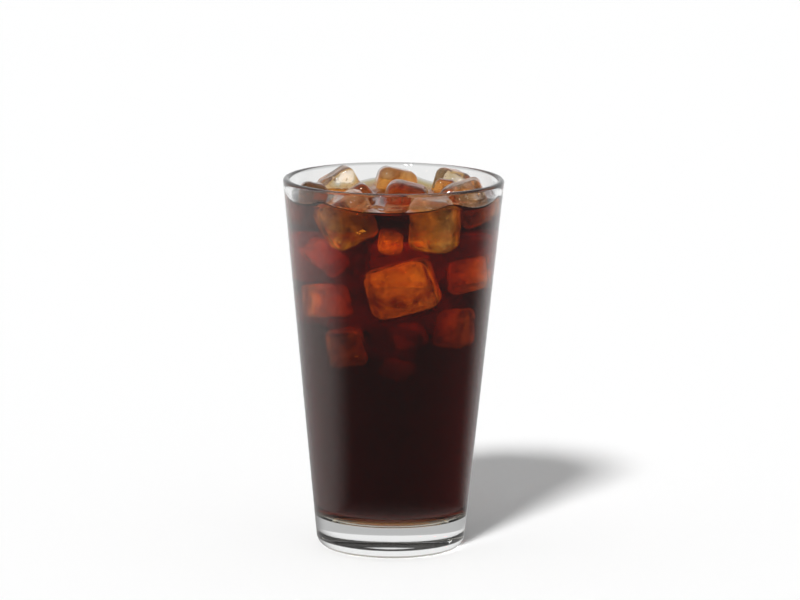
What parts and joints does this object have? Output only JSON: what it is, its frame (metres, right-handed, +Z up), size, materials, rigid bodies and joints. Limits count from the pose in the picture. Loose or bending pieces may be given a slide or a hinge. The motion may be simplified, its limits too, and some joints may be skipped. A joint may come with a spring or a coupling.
{
  "type": "iced coffee in a tumbler",
  "caption": "Cold brew coffee over ice in a tall clear tumbler with a tapered side and a thick base, ice blocks breaking the surface at the rim",
  "frame": {"origin": "centre of the foot, on the surface the glass stands on", "axes": "+Z up along the glass's axis, -Y to the front view, +X to the right of it"},
  "size_m": [0.0888, 0.0887, 0.1527],
  "materials": {
    "clear_glass": "clear, polished, slightly uneven pressed glass",
    "coffee": "clear very dark brown liquid, amber where thin",
    "ice": "clear wet ice with fine bubbles, coffee film on its faces"
  },
  "bodies": {
    "root": {"glass": "clear_glass", "coffee": "coffee", "ice_1": "ice", "ice_2": "ice", "ice_3": "ice", "ice_4": "ice", "ice_5": "ice", "ice_6": "ice", "ice_7": "ice", "ice_8": "ice", "ice_9": "ice", "ice_10": "ice"}
  },
  "joints": []
}
